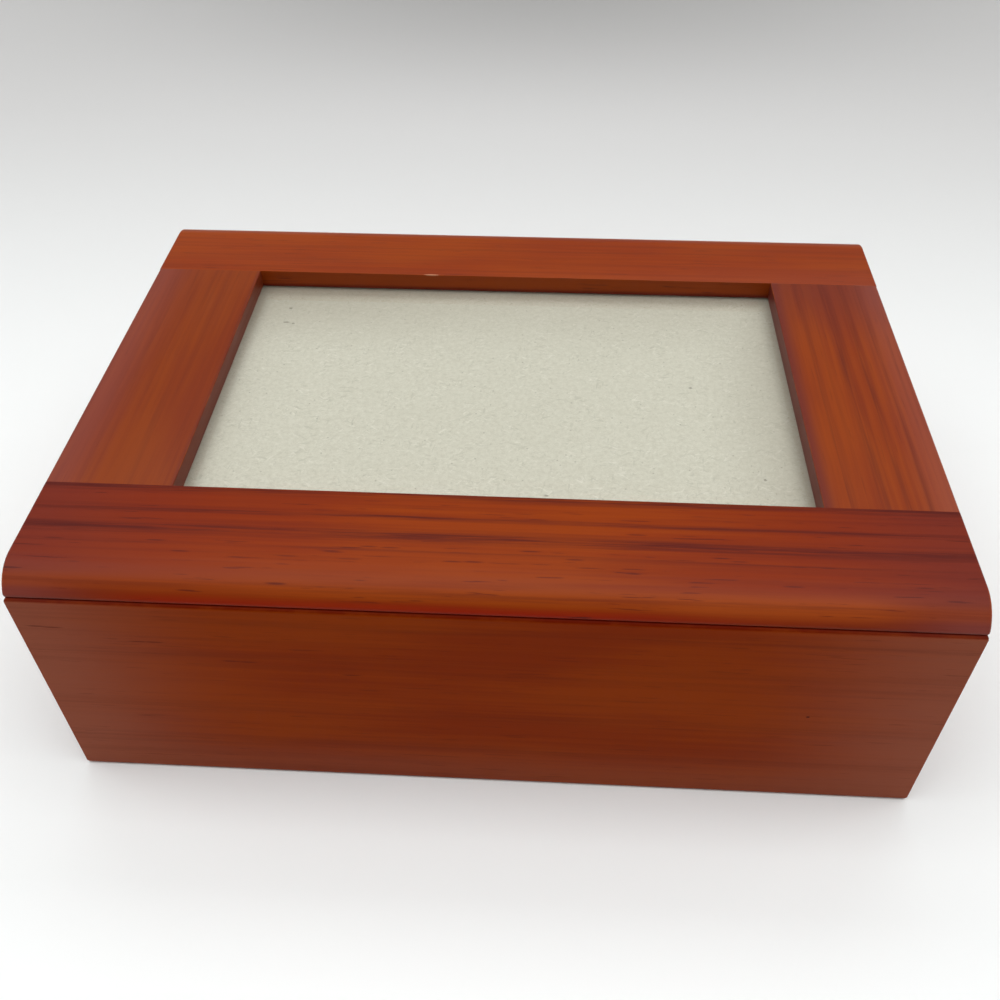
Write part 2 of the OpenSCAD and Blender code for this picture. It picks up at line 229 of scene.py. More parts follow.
def wood_noises(t, u, v, w, seed):
    """The noises that a piece of wood is made of, all of them long along the grain."""
    def long_noise(along, across, shift, detail, roughness=0.5):
        return t.noise(t.stretched(u, v, w, along, across, seed + shift), detail=detail,
                       roughness=roughness)

    return {"wander": long_noise(0.009, 0.03, 0.0, 2.0),
            "waver": long_noise(0.045, 0.12, 7.0, 3.0),
            "strands": long_noise(0.035, 2.1, 0.0, 4.0, 0.65),
            "streaks": long_noise(0.018, 0.75, 5.0, 3.0, 0.55),
            "fibres": long_noise(0.12, 9.0, 3.0, 3.0, 0.6),
            "blotch": long_noise(0.016, 0.05, 11.0, 2.0),
            "fading": long_noise(0.022, 0.09, 17.0, 2.0),
            "dash": long_noise(0.085, 1.7, 23.0, 2.0)}


def ring_distance(t, v, w, pith, noises):
    """How far a point lies from the tree's centre in mm, with a little wandering."""
    shift = t.add(t.mul(t.sub(noises["wander"], 0.5), 1.3),
                  t.mul(t.sub(noises["waver"], 0.5), 0.6))
    off_v = t.add(t.sub(v, pith[0]), shift)
    return t.vector("LENGTH", t.join(0.0, off_v, t.sub(w, pith[1])))


def growth_rings(t, u, distance, noises, lines, pith, face, plain, seed):
    """The dark lines at their places, and faint rings everywhere."""
    main = ring_profile(t, distance, lines, pith, face)
    main = t.mul(main, t.remap(noises["strands"], 0.38, 0.56, 0.35, 1.1))
    main = t.mul(main, t.remap(noises["fading"], 0.36, 0.56, 0.75, 1.0, smooth=True))
    faint = t.noise(t.join(t.mul(distance, 0.33), t.mul(u, 0.004), seed), detail=3.0,
                    roughness=0.6)
    faint = t.mul(t.remap(faint, 0.48, 0.72, smooth=True), plain)
    return t.math("MAXIMUM", main, faint)


def pore_streaks(t, u, v, fibres, marks):
    """Single dark streaks at chosen places, with frayed outlines."""
    place = t.join(t.mul(u, 1 / STREAK[0]), t.mul(v, 1 / STREAK[1]))
    nearest = None
    for along, across in marks:
        away = t.vector("DISTANCE", place, (along / STREAK[0], across / STREAK[1], 0.0))
        nearest = away if nearest is None else t.math("MINIMUM", nearest, away)
    frayed = t.add(nearest, t.mul(t.sub(fibres, 0.5), 0.9))
    return t.remap(frayed, 1.15, 0.35, 0.0, 0.72, smooth=True)


def fine_grain(t, dark, noises, grain):
    """The dark share, with fine strands, streaks and fibres laid over it."""
    dark = t.add(dark, t.mul(t.sub(noises["strands"], 0.5), 0.5 * grain))
    dark = t.add(dark, t.mul(t.sub(noises["streaks"], 0.5), 0.38 * grain))
    return t.math("ADD", dark, t.mul(t.sub(noises["fibres"], 0.5), 0.22 * grain), clamp=True)


def ground_stain_and_painted_light(t, xyz, noises, shades):
    """The stain between the dark grain, in two tones, with the shades laid over it in turn: some
    are stain, and many are painted light and shade.
    """
    blotch, streaks = noises["blotch"], noises["streaks"]
    tint = t.add(t.mul(blotch, 0.6), t.mul(streaks, 0.4))
    ground = t.mix(t.remap(tint, 0.38, 0.62, smooth=True), STAIN_LIGHT, STAIN_RED)
    ragged = t.add(t.sub(blotch, 0.5), t.mul(t.sub(streaks, 0.5), 0.6))
    for colour, share, spans in shades:
        reach = share
        for axis, start, full in spans:
            inside = t.remap(xyz[axis], start, full, smooth=True)
            if abs(full - start) > RAGGED_SPAN:
                inside = t.mul(t.math("ADD", t.mul(ragged, 0.5), inside, clamp=True), inside)
            reach = t.mul(inside, reach)
        ground = t.mix(reach, ground, colour)
    return ground


def object_normal(t):
    """The softened normal's axes in the part's own frame, without their signs."""
    normal = t.node("ShaderNodeNewGeometry").outputs["Normal"]
    turned = t.node("ShaderNodeVectorTransform", {"vector_type": "NORMAL", "convert_from": "WORLD",
                                                  "convert_to": "OBJECT"}, Vector=normal)
    return dict(zip("xyz", t.split(t.vector("ABSOLUTE", turned.outputs[0]))))


def rubbed_arrises(t, place, facing, fibres, rounded):
    """Where hands have thinned the stain on the arrises, in patches. A rounded member has a broad
    turn in place of its arrises along X, and that isn't worn."""
    arris = t.mul(facing["x"], t.add(facing["y"], facing["z"]))
    if not rounded:
        arris = t.add(arris, t.mul(facing["y"], facing["z"]))
    patches = t.remap(t.add(t.noise(place, 0.11, 4.0, 0.65), t.mul(fibres, 0.25)), 0.58, 0.78)
    return t.mul(t.remap(arris, 0.22, 0.48, smooth=True), t.add(patches, 0.15))


def spotted(t, colour, place, spots):
    """The colour with single spots, each (middle, half sizes, colour), with frayed outlines."""
    for at, size, spot_colour in spots:
        away = t.vector("DISTANCE", t.vector("DIVIDE", place, size),
                        tuple(a / s for a, s in zip(at, size)))
        frayed = t.add(away, t.mul(t.sub(t.noise(place, 2.6, 3.0), 0.5), 0.8))
        colour = t.mix(t.remap(frayed, 1.0, 0.55, smooth=True), colour, spot_colour)
    return colour


def stained_wood(name, order, lines, pith, face, seed, plain=0.2, tone=(1.0, 1.0, 1.0),
                 gloss=0.17, dashes=0.5, marks=(), shades=(), spots=(), rounded=True,
                 wear=0.5, grain=1.0):
    """Stained and satin-lacquered wood. order names the axes along the grain, across the show
    face and through it. plain, dashes, grain and wear are the strengths of the faint rings, the
    short dark dashes, the fine streaks and the worn arrises. marks are the middles of single
    pore streaks, along and across. shades are places where the colour lies differently, each
    (colour, share, ((axis, start, full), ...)): some are stain, and many are painted light and
    shade, such as painted haze, sheen, shade and shadow. tone multiplies the colour, and gloss is
    the lacquer's specular level."""
    m, t = material(name)
    place = t.place_mm()
    xyz = dict(zip("xyz", t.split(place)))
    u, v, w = (xyz[axis] for axis in order)
    noises = wood_noises(t, u, v, w, seed)
    strands, fibres = noises["strands"], noises["fibres"]

    distance = ring_distance(t, v, w, pith, noises)
    dark = growth_rings(t, u, distance, noises, lines, pith, face, plain, seed)
    dark = t.math("MAXIMUM", dark, t.remap(noises["dash"], 0.64, 0.72, 0.0, dashes, smooth=True))
    if marks:
        dark = t.math("MAXIMUM", dark, pore_streaks(t, u, v, fibres, marks))
    dark = fine_grain(t, dark, noises, grain)
    colour = t.mix(dark, ground_stain_and_painted_light(t, xyz, noises, shades), STAIN_DARK)

    facing = object_normal(t)
    end_grain = t.remap(facing[order[0]], 0.6, 0.95, smooth=True)
    colour = t.mix(t.mul(end_grain, 0.55), colour, t.mix(0.5, colour, STAIN_DARK))
    worn = rubbed_arrises(t, place, facing, fibres, rounded)
    colour = t.mix(t.mul(worn, wear), colour, STAIN_WORN)
    colour = spotted(t, t.mix(1.0, colour, tone, "MULTIPLY"), place, spots)

    uneven = t.add(t.mul(strands, 0.6), t.mul(noises["blotch"], 0.6))
    roughness = t.add(t.remap(uneven, 0.35, 0.9, 0.33, 0.44), t.mul(worn, 0.12))
    height = t.add(t.mul(fibres, 0.5), t.sub(t.mul(strands, 0.6), t.mul(dark, 0.35)))
    shader = t.node("ShaderNodeBsdfPrincipled", Base_Color=colour, Roughness=roughness, IOR=1.5,
                    Specular_IOR_Level=gloss, Normal=t.bump(height, 0.16, 0.06))
    finish_material(t, shader.outputs[0])
    return m


# --- each member's own piece of wood ---

# Growth lines on the show faces: (place across the grain in mm, width in mm, strength)
FRONT_RAIL_LINES = ((-45.4, 1.4, 0.9), (-52.3, 0.8, 0.8), (-57.9, 2.0, 0.9), (-62.2, 0.5, 0.5),
                    (-70.6, 0.5, 0.25))
REAR_RAIL_LINES = ((52.0, 0.7, 0.2), (58.5, 0.9, 0.24), (66.0, 0.8, 0.2))
LEFT_STILE_LINES = ((-83.0, 1.2, 0.1), (-93.0, 1.4, 0.12))
RIGHT_STILE_LINES = ((78.6, 0.9, 0.38), (85.8, 1.7, 0.48), (90.7, 0.9, 0.5), (95.6, 0.9, 0.36))
FRONT_BOARD_LINES = ((14.0, 1.8, 0.2), (28.0, 2.2, 0.2), (47.0, 1.8, 0.16), (58.5, 1.5, 0.22))
PLAIN_BOARD_LINES = ((12.0, 1.0, 0.3), (25.0, 1.4, 0.35), (33.0, 0.8, 0.25), (51.0, 1.2, 0.3))

# The middles of single pore streaks, along and across the grain, in mm
FRONT_RAIL_MARKS = (
    (-93.1, -61.8), (-71.1, -61.4), (-65.1, -64.3), (-42.1, -64.6), (-32.7, -63.0),
    (-25.5, -61.1), (-21.0, -61.2), (-7.5, -64.5), (-3.2, -64.4), (8.6, -60.9), (18.0, -62.8),
    (48.4, -60.9), (52.1, -61.7), (64.0, -62.6), (70.1, -62.6), (62.2, -67.8), (-43.5, -70.9),
    (88.6, -67.0), (-78.0, -55.2), (31.0, -55.0))
FRONT_BOARD_MARKS = ((-96.8, 54.9), (-93.4, 54.7), (-75.5, 50.9), (-72.2, 50.9), (-56.2, 45.2),
                     (-52.6, 45.1), (-30.0, 41.8))

# Spots: (middle, half sizes, colour), in mm
REAR_RAIL_CHIP = ((-23.1, REAR_JOINT_Y + 0.15, LID_TOP), (2.5, 0.4, 0.5), (0.42, 0.17, 0.09))
FRONT_BOARD_NICK = ((71.2, BOX_LOW.y, 33.3), (0.5, 0.4, 0.35), (0.05, 0.006, 0.004))


def painted_seam_shadow(axis, outer):
    """Painted shadow along both sides of the seam, on an outer face's rim."""
    inward = -1.0 if outer > 0.0 else 1.0
    rim = (axis, outer + 1.9 * inward, outer + 1.1 * inward)
    return (PAINTED_CREVICE_SHADOW, 0.85, (rim, ("z", SEAM_Z + 0.5, SEAM_Z + 0.15),
                               ("z", SEAM_Z - 0.75, SEAM_Z - 0.3)))


# Painted seam shadows on the four outer faces of lid and box.
FRONT_SEAM, REAR_SEAM = painted_seam_shadow("y", BOX_LOW.y), painted_seam_shadow("y", BOX_REAR)
LEFT_SEAM, RIGHT_SEAM = painted_seam_shadow("x", -SIDE_X), painted_seam_shadow("x", SIDE_X)


def at_both_ends(colour, share, start, full, *other_spans):
    """The same shade to the left and to the right."""
    return [(colour, share, (("x", side * start, side * full), *other_spans))
            for side in (-1, 1)]


def front_rail_shades():
    """Brick red to the ends, with painted haze in purple to the ends and pale on the ends of the
    turn, a painted sheen along the turn, painted shade in deep red at its foot, and painted seam
    shadow.
    """
    brick_left = (STAIN_BRICK, 0.75, (("x", 10.0, -80.0),))
    brick_right = (STAIN_BRICK, 0.7, (("x", 15.0, 75.0),))
    # Painted haze: purple to both ends.
    purple = at_both_ends(PURPLE_PAINTED_HAZE_AND_SHADE, 0.6, 48.0, 102.0)
    # Painted haze: pale on the turn near both ends.
    painted_haze_turns = at_both_ends(PAINTED_HAZE_COLOUR, 0.4, 70.0, 100.0, ("z", LID_TOP - 0.8, LID_TOP - 4.5))
    # Painted sheen: lighter stain along the turn, with more of it to the right.
    painted_sheen = (PAINTED_SHEEN_COLOUR, 0.25, (("z", LID_TOP - 0.4, LID_TOP - 2.2),
                                   ("z", SEAM_Z + 1.8, SEAM_Z + 3.4)))
    painted_sheen_right = (PAINTED_SHEEN_COLOUR, 0.35, (("z", LID_TOP - 0.2, LID_TOP - 2.0),
                                         ("z", SEAM_Z + 0.6, SEAM_Z + 2.8),
                                         ("x", 10.0, 52.0), ("x", 98.0, 74.0)))
    # Painted shade: deep red at the foot of the turn.
    deep = (DEEP_RED_PAINTED_SHADE, 0.85, (("y", LID_LOW.y + 4.0, LID_LOW.y + 2.0),
                               ("z", SEAM_Z + 2.8, SEAM_Z + 1.0),
                               ("x", -96.0, -66.0), ("x", 96.0, 10.0)))
    return [brick_left, brick_right, *purple, *painted_haze_turns, painted_sheen, painted_sheen_right, deep,
            FRONT_SEAM, LEFT_SEAM, RIGHT_SEAM]


def rear_rail_shades():
    """Painted shade in deep red at the foot of the turn, painted light on the lip's face above the
    glass, and painted shadow in a dark line where the lip meets the glass and along the seam.
    """
    # Painted shade: deep red at the foot of the turn.
    deep = (DEEP_RED_PAINTED_SHADE, 0.6, (("y", LID_REAR_HIGH.y - 4.0, LID_REAR_HIGH.y - 2.0),
                              ("z", SEAM_Z + 2.8, SEAM_Z + 1.0)))
    on_lip = ("y", REAR_JOINT_Y + 0.5, REAR_JOINT_Y + 0.1)
    # Painted light: the lip's face made lighter, for the light that falls on it.
    lip = (STAIN_LIGHT, 0.6, (on_lip,))
    # Painted shadow: a dark line at the lip's foot, where it meets the glass.
    glass_line = (PAINTED_CREVICE_SHADOW, 0.8, (on_lip, ("z", GLASS_TOP + 1.4, GLASS_TOP + 0.3)))
    return [deep, lip, glass_line, REAR_SEAM, LEFT_SEAM, RIGHT_SEAM]


def left_stile_shades():
    # Painted haze: pale towards the outer end.
    painted_haze = (PAINTED_HAZE_COLOUR, 0.35, (("x", -84.0, -101.0),))
    # Painted shade: purple on the inner edge and on the lip's face.
    lip = (PURPLE_PAINTED_HAZE_AND_SHADE, 0.5, (("x", -STILE_INNER_X - 1.2, -STILE_INNER_X - 0.1),))
    return [painted_haze, lip, LEFT_SEAM]


def right_stile_shades():
    # Painted haze: purple towards the rear.
    purple = (PURPLE_PAINTED_HAZE_AND_SHADE, 0.5, (("y", 0.0, 44.0),))
    # Painted haze: pale towards the outer end.
    painted_haze = (PAINTED_HAZE_COLOUR, 0.35, (("x", 88.0, 101.0),))
    # Painted shade: purple on the inner edge and on the lip's face.
    lip = (PURPLE_PAINTED_HAZE_AND_SHADE, 0.9, (("x", STILE_INNER_X + 4.0, STILE_INNER_X),))
    return [purple, painted_haze, lip, RIGHT_SEAM]


def front_board_shades():
    # Painted haze: pale towards both ends and towards the foot.
    painted_haze_foot = (PAINTED_HAZE_COLOUR, 0.45, (("z", 24.0, 3.0),))
    return [*at_both_ends(PAINTED_HAZE_COLOUR, 1.0, 40.0, 104.0), painted_haze_foot, FRONT_SEAM]


# A plain board's only shade is the painted shadow along its seam.
def plain_board(name, order, pith, face, seed, plain, seam):
    return stained_wood(name, order, PLAIN_BOARD_LINES, pith, face, seed, plain=plain,
                        tone=(0.95, 0.9, 0.9), shades=[seam], rounded=False, wear=0.25)


def wood_members():
    return {
        "lid_front_rail": stained_wood(
            "wood_front_rail", "xyz", FRONT_RAIL_LINES, (90.0, 0.0), LID_TOP, 1.0, plain=0.22,
            gloss=0.12, dashes=0.75, marks=FRONT_RAIL_MARKS, shades=front_rail_shades()),
        "lid_rear_rail": stained_wood(
            "wood_rear_rail", "xyz", REAR_RAIL_LINES, (-70.0, 10.0), LID_TOP, 2.0,
            tone=(1.06, 1.12, 1.1), spots=[REAR_RAIL_CHIP], shades=rear_rail_shades()),
        "lid_left_stile": stained_wood(
            "wood_left_stile", "yxz", LEFT_STILE_LINES, (40.0, 30.0), LID_TOP, 3.0, plain=0.1,
            tone=(0.86, 0.95, 1.0), dashes=0.2, shades=left_stile_shades()),
        "lid_right_stile": stained_wood(
            "wood_right_stile", "yxz", RIGHT_STILE_LINES, (-20.0, 10.0), LID_TOP, 4.0,
            plain=0.16, tone=(0.97, 1.05, 1.0), dashes=0.25, shades=right_stile_shades()),
        "front_panel": stained_wood(
            "wood_front_board", "xzy", FRONT_BOARD_LINES, (-60.0, -20.0), BOX_LOW.y, 5.0,
            plain=0.16, tone=(1.04, 0.98, 0.6), gloss=0.02, dashes=0.35,
            marks=FRONT_BOARD_MARKS, spots=[FRONT_BOARD_NICK], shades=front_board_shades(),
            rounded=False, wear=0.15, grain=0.55),
        "rear_panel": plain_board("wood_rear_board", "xzy", (-50.0, 30.0), BOX_REAR, 6.0, 0.3,
                                  REAR_SEAM),
        "left_panel": plain_board("wood_left_board", "yzx", (120.0, -50.0), BOX_LOW.x, 7.0, 0.25,
                                  LEFT_SEAM),
        "right_panel": plain_board("wood_right_board", "yzx", (-70.0, 60.0), BOX_HIGH.x, 8.0,
                                   0.25, RIGHT_SEAM),
    }


def bare_wood():
    m, t = material("bare_wood")
    x, y, z = t.split(t.place_mm())
    strands = t.noise(t.stretched(y, x, z, 0.08, 2.6), detail=4.0, roughness=0.6)
    colour = t.ramp(strands, [(0.3, (0.42, 0.27, 0.14)), (0.7, (0.68, 0.50, 0.31))])
    shader = t.node("ShaderNodeBsdfPrincipled", Base_Color=colour,
                    Roughness=t.remap(strands, 0.3, 0.7, 0.7, 0.58),
                    Normal=t.bump(strands, 0.25, 0.08))
    finish_material(t, shader.outputs[0])
    return m


# --- card, boards, felt, metal, glass ---

CARD_FIBRE_CYCLES, CARD_FIBRE_SPAN = (0.28, 1.35), (0.61, 0.67)
CARD_FIBRES = ((0.0, 0.0), (0.5, 17.0), (-0.4, 31.0), (1.5, 47.0))
CARD_PALE_FIBRES = ((0.1, 61.0), (-0.6, 77.0), (0.9, 93.0))

# Single dark specks on the card: (middle, half sizes), in mm
CARD_SPECKS = (((-62.2, 27.8), (1.25, 0.45)), ((-60.2, 27.3), (0.55, 0.5)),
               ((-62.3, 34.6), (0.65, 0.6)), ((62.3, -30.2), (0.5, 0.5)),
               ((47.5, 3.5), (0.6, 0.6)), ((11.5, -37.8), (0.75, 0.45)))


def card_painted_shade(t, x, y, colour):
    """The card's colour with painted shade: browner and darker to the rear and the right, and
    darker still along the lips.
    """
    rear = t.remap(y, REAR_JOINT_Y - 34.0, REAR_JOINT_Y, 0.0, 0.26, smooth=True)
    rear_left = t.mul(rear, t.remap(x, 10.0, -STILE_INNER_X, smooth=True))
    right = t.remap(x, STILE_INNER_X - 26.0, STILE_INNER_X, 0.0, 0.3, smooth=True)
    painted_margin_shade = t.math("MAXIMUM", t.add(rear, rear_left), right)
    side_lip = t.remap(t.math("ABSOLUTE", x), STILE_INNER_X - 4.0, STILE_INNER_X, smooth=True)
    rear_lip = t.remap(y, REAR_JOINT_Y - 7.0, REAR_JOINT_Y, smooth=True)
    painted_lip_shade = t.math("MAXIMUM", side_lip, rear_lip)
    colour = t.mix(painted_margin_shade, colour, (0.30, 0.25, 0.19))
    return t.mix(t.mul(painted_lip_shade, 0.42), colour, (0.26, 0.20, 0.15))


def card_specks(t, x, y, place, colour):
    """The card's colour with the single specks, with ragged outlines."""
    for at, size in CARD_SPECKS:
        away = t.vector("DISTANCE", t.join(t.mul(x, 1 / size[0]), t.mul(y, 1 / size[1])),
                        (at[0] / size[0], at[1] / size[1], 0.0))
        ragged = t.add(away, t.mul(t.sub(t.noise(place, 3.1), 0.5), 1.1))
        colour = t.mix(t.remap(ragged, 1.0, 0.4, 0.0, 0.62, smooth=True), colour,
                       (0.16, 0.14, 0.11))
    return colour


def grey_card():
    """Grey chipboard: pulp in clumps and clouds, crossing fibres, pale and dark specks."""
    m, t = material("grey_card")
    place = t.place_mm()
    x, y, _ = t.split(place)
    clouds = t.noise(place, 0.09, 4.0, 0.6)
    clumps = t.noise(place, 0.85, 4.0, 0.68, 0.3)
    grit = t.noise(place, 2.6, 4.0, 0.7)
    pulp = t.add(t.mul(clumps, 0.55), t.mul(grit, 0.45))
    patches = t.remap(t.noise(place, 0.16, 3.0, 0.6), 0.42, 0.60, 0.25, 1.0, smooth=True)
    fibres, pale_fibres = (
        t.mul(crossing_fibres(t, x, y, turns, CARD_FIBRE_CYCLES, CARD_FIBRE_SPAN, detail=3.0,
                              roughness=0.6, distortion=0.4), patches)
        for turns in (CARD_FIBRES, CARD_PALE_FIBRES))
    specks = t.remap(t.cells(place, 0.55), 0.16, 0.08, smooth=True)
    keep = t.math("GREATER_THAN", t.cells(place, 0.55, output="Color"), 0.66)
    dark_specks = t.mul(specks, keep)

    colour = t.ramp(pulp, [(0.36, (0.560, 0.514, 0.428)), (0.5, (0.625, 0.582, 0.490)),
                           (0.64, (0.680, 0.638, 0.548))])
    colour = t.mix(t.mul(t.remap(clouds, 0.3, 0.7), 0.14), colour, (0.56, 0.52, 0.43))
    colour = t.mix(t.mul(pale_fibres, 0.45), colour, (0.80, 0.75, 0.67))
    colour = t.mix(t.mul(fibres, 0.42), colour, (0.42, 0.39, 0.315))
    colour = t.mix(t.mul(dark_specks, 0.45), colour, (0.22, 0.19, 0.14))
    # Painted shade on the card's margins, then its single specks.
    colour = card_specks(t, x, y, place, card_painted_shade(t, x, y, colour))
    height = t.add(pulp, t.mul(t.sub(pale_fibres, fibres), 0.15))
    shader = t.node("ShaderNodeBsdfPrincipled", Base_Color=colour,
                    Roughness=t.remap(pulp, 0.3, 0.7, 0.92, 0.8), Specular_IOR_Level=0.3,
                    Normal=t.bump(height, 0.3, 0.05))
    finish_material(t, shader.outputs[0])
    return m


SCREEN_PITCH_MM = 1.3


def hardboard():
    """Brown fibreboard, with short fibres and the screen's print on its rough side."""
    m, t = material("hardboard")
    place = t.place_mm()
    x, y, z = t.split(place)
    chips = t.noise(place, 0.8, 5.0, 0.7)
    fibres = t.noise(t.join(t.mul(x, 0.5), t.mul(y, 2.8), z), 1.0, 3.0, 0.6)
    colour = t.ramp(t.add(t.mul(chips, 0.6), t.mul(fibres, 0.4)),
                    [(0.32, (0.115, 0.058, 0.028)), (0.5, (0.215, 0.118, 0.060)),
                     (0.68, (0.330, 0.200, 0.110))])
    wave = 2 * math.pi / SCREEN_PITCH_MM
    screen = t.mul(t.math("SINE", t.mul(x, wave)), t.math("SINE", t.mul(y, wave)))
    height = t.add(t.mul(chips, 0.8), t.mul(screen, 0.22))
    shader = t.node("ShaderNodeBsdfPrincipled", Base_Color=colour,
                    Roughness=t.remap(chips, 0.3, 0.7, 0.85, 0.66),
                    Normal=t.bump(height, 0.4, 0.12))
    finish_material(t, shader.outputs[0])
    return m


FELT_HAIRS = ((0.4, 3.0), (1.5, 21.0), (2.5, 37.0))


def felt():
    """Dark brown felt: matted fibres with lighter hairs and a soft nap."""
    m, t = material("felt")
    place = t.place_mm()
    x, y, _ = t.split(place)
    matting = t.noise(place, 1.1, 5.0, 0.75, 0.6)
    nap = t.noise(place, 0.05, 3.0, 0.6)
    hairs = crossing_fibres(t, x, y, FELT_HAIRS, (0.7, 5.0), (0.6, 0.75))
    colour = t.ramp(matting, [(0.3, (0.022, 0.012, 0.010)), (0.7, (0.075, 0.045, 0.035))])
    colour = t.mix(t.mul(hairs, 0.35), colour, (0.15, 0.10, 0.08))
    colour = t.mix(t.remap(nap, 0.35, 0.65, 0.0, 0.3), colour, (0.035, 0.020, 0.016))
    height = t.add(matting, t.mul(hairs, 0.5))
    shader = t.node("ShaderNodeBsdfPrincipled", Base_Color=colour,
                    Roughness=t.remap(matting, 0.3, 0.7, 0.98, 0.86), Sheen_Weight=0.35,
                    Sheen_Roughness=0.45, Sheen_Tint=(0.55, 0.42, 0.36, 1.0),
                    Normal=t.bump(height, 0.8, 0.3))
    finish_material(t, shader.outputs[0])
    return m


def brass():
    """Satin brass plate with fine scratches, crossing scratches and a little tarnish."""
    m, t = material("brass")
    place = t.place_mm()
    x, y, z = t.split(place)
    scratch = t.noise(t.join(t.mul(x, 0.9), t.mul(y, 12.0), t.mul(z, 12.0)), detail=3.0,
                      roughness=0.7)
    cross = t.noise(t.join(t.mul(x, 14.0), t.mul(y, 0.8), t.mul(z, 6.0)))
    tarnish = t.noise(place, 0.35, 5.0, 0.7)
    stain = t.remap(tarnish, 0.45, 0.68, smooth=True)
    colour = t.mix(stain, (0.78, 0.57, 0.24), (0.50, 0.33, 0.13))
    colour = t.mix(t.remap(scratch, 0.55, 0.75, 0.0, 0.35), colour, (0.88, 0.72, 0.42))
    roughness = t.add(t.remap(tarnish, 0.35, 0.7, 0.24, 0.42),
                      t.remap(scratch, 0.4, 0.7, 0.0, 0.1))
    height = t.add(t.mul(scratch, 0.6), t.mul(cross, 0.4))
    shader = t.node("ShaderNodeBsdfPrincipled", Base_Color=colour, Metallic=1.0,
                    Roughness=roughness, Normal=t.bump(height, 0.2, 0.02))
    finish_material(t, shader.outputs[0])
    return m


def glass():
    """Clear picture glass. Light passes it unbent, so that the card behind it is lit."""
    m, t = material("glass")
    smear = t.noise(t.place_mm(), 0.06, 4.0, 0.6)
    body = t.node("ShaderNodeBsdfPrincipled", Base_Color=(0.965, 0.985, 0.975, 1.0),
                  Roughness=t.remap(smear, 0.35, 0.75, 0.0, 0.03), IOR=1.48,
                  Transmission_Weight=1.0)
    clear = t.node("ShaderNodeBsdfTransparent", Color=(0.93, 0.95, 0.94, 1.0))
    path = t.node("ShaderNodeLightPath").outputs
    lighting = t.math("MAXIMUM", path["Is Shadow Ray"], path["Is Diffuse Ray"])
    mixed = t.node("ShaderNodeMixShader")
    for socket, value in zip(mixed.inputs, (lighting, body.outputs[0], clear.outputs[0])):
        t.feed(socket, value)
    finish_material(t, mixed.outputs[0])
    return m


def dress(piece, new_material):
    for slot in piece.material_slots:
        slot.material = new_material


def dress_all():
    """The wooden members get their own materials, and the other pieces go by their slot."""
    for name, wood in wood_members().items():
        dress(nodes[name], wood)
    by_slot = {"bare_wood": bare_wood(), "grey_card": grey_card(), "hardboard": hardboard(),
               "felt": felt(), "brass": brass(), "glass": glass()}
    for piece in nodes.values():
        old = piece.material_slots[0].material.name
        if old in by_slot:
            dress(piece, by_slot[old])


# --- softened edges ---

# Edges that turn by more than this are sharp, in radians
SHARP_ANGLE = math.radians(28.0)

# How near to a rule's place an edge's middle has to lie, in m
PLACE_TOLERANCE = 0.02 * MM

# An edge with a smaller share of the bevel's width stays crisp
LEAST_SHARE = 0.01

# Widths of the softening in mm, for shares of 1
LID_EDGE_MM, WALL_EDGE_MM, BUTTON_EDGE_MM = 1.0, 1.2, 0.2


def edge_weights(name, plain_share, rules):
    """A modifier's node group that gives each sharp edge its share of the bevel's width, and
    creases the edges without a share. A rule is a dict of places in mm, x without its sign, and
    a share; the last rule that fits an edge's middle holds, and plain_share where none does."""
    group = bpy.data.node_groups.new(name, "GeometryNodeTree")
    group.interface.new_socket("Geometry", in_out="INPUT", socket_type="NodeSocketGeometry")
    group.interface.new_socket("Geometry", in_out="OUTPUT", socket_type="NodeSocketGeometry")
    t = Tree(group)
    start, end = t.node("NodeGroupInput"), t.node("NodeGroupOutput")
    turn = t.node("GeometryNodeInputMeshEdgeAngle").outputs[0]
    sharp = t.math("GREATER_THAN", turn, SHARP_ANGLE)
    middle = dict(zip("xyz", t.split(t.node("GeometryNodeInputPosition").outputs[0])))
    middle["x"] = t.math("ABSOLUTE", middle["x"])
    weight = t.add(plain_share, 0.0)
    for places, share in rules:
        fits = 1.0
        for axis, at_mm in places.items():
            away = t.math("ABSOLUTE", t.sub(middle[axis], at_mm * MM))
            fits = t.mul(t.math("LESS_THAN", away, PLACE_TOLERANCE), fits)
        weight = t.add(t.mul(t.sub(share, weight), fits), weight)
    crisp = t.mul(sharp, t.math("LESS_THAN", weight, LEAST_SHARE))

    plain = t.node("GeometryNodeRemoveAttribute", Geometry=start.outputs[0],
                   Name="custom_normal")
    store = t.node("GeometryNodeStoreNamedAttribute",
                   {"data_type": "FLOAT", "domain": "EDGE"}, Geometry=plain.outputs[0],
                   Name="bevel_weight_edge", Value=t.mul(sharp, weight))
    smooth = t.node("GeometryNodeSetShadeSmooth", Geometry=store.outputs[0])
    creased = t.node("GeometryNodeSetShadeSmooth", {"domain": "EDGE"},
                     Geometry=smooth.outputs[0], Selection=crisp, Shade_Smooth=False)
    t.feed(end.inputs[0], creased.outputs[0])
    return group


def soften(name, width_mm, segments=4, plain_share=0.0, rules=()):
    """Rounds a node's sharp edges by up to width_mm, each by the share that its rule gives."""
    piece = nodes[name]
    weld = piece.modifiers.new("weld", "WELD")
    weld.merge_threshold = 0.001 * MM
    flat = piece.modifiers.new("flat", "DECIMATE")
    flat.decimate_type = "DISSOLVE"
    flat.angle_limit = math.radians(0.5)
    weights = piece.modifiers.new("weights", "NODES")
    weights.node_group = edge_weights(f"weights_{name}", plain_share, rules)
    bevel = piece.modifiers.new("bevel", "BEVEL")
    bevel.limit_method = "WEIGHT"
    bevel.width = width_mm * MM
    bevel.segments = segments
    bevel.use_clamp_overlap = True
    bevel.miter_outer = "MITER_ARC"
    shading = piece.modifiers.new("shading", "WEIGHTED_NORMAL")
    shading.keep_sharp = True


